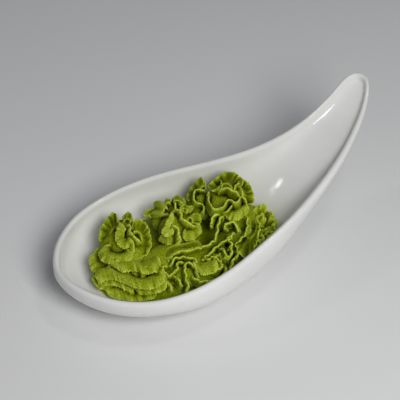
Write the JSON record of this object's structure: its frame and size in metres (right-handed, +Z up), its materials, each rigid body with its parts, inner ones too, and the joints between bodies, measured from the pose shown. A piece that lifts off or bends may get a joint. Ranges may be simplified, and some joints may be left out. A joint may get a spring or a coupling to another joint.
{
  "type": "porcelain tasting spoon of piped wasabi paste",
  "caption": "Comma-shaped glazed porcelain tasting spoon with a raised, curved handle, its bowl filled with ruffled rosettes and ribs of piped green wasabi paste.",
  "frame": {"origin": "centre of the overall box, at the level of the foot that the spoon rests on", "axes": "+X from the front of the bowl towards the handle, +Y towards the side that the handle curves to, +Z up"},
  "size_m": [0.1292, 0.0594, 0.0427],
  "materials": {
    "glazed_porcelain": "glossy white glaze",
    "wasabi": "matte, finely grained food paste"
  },
  "bodies": {
    "root": {"spoon": "glazed_porcelain", "wasabi_paste": "wasabi"}
  },
  "joints": []
}
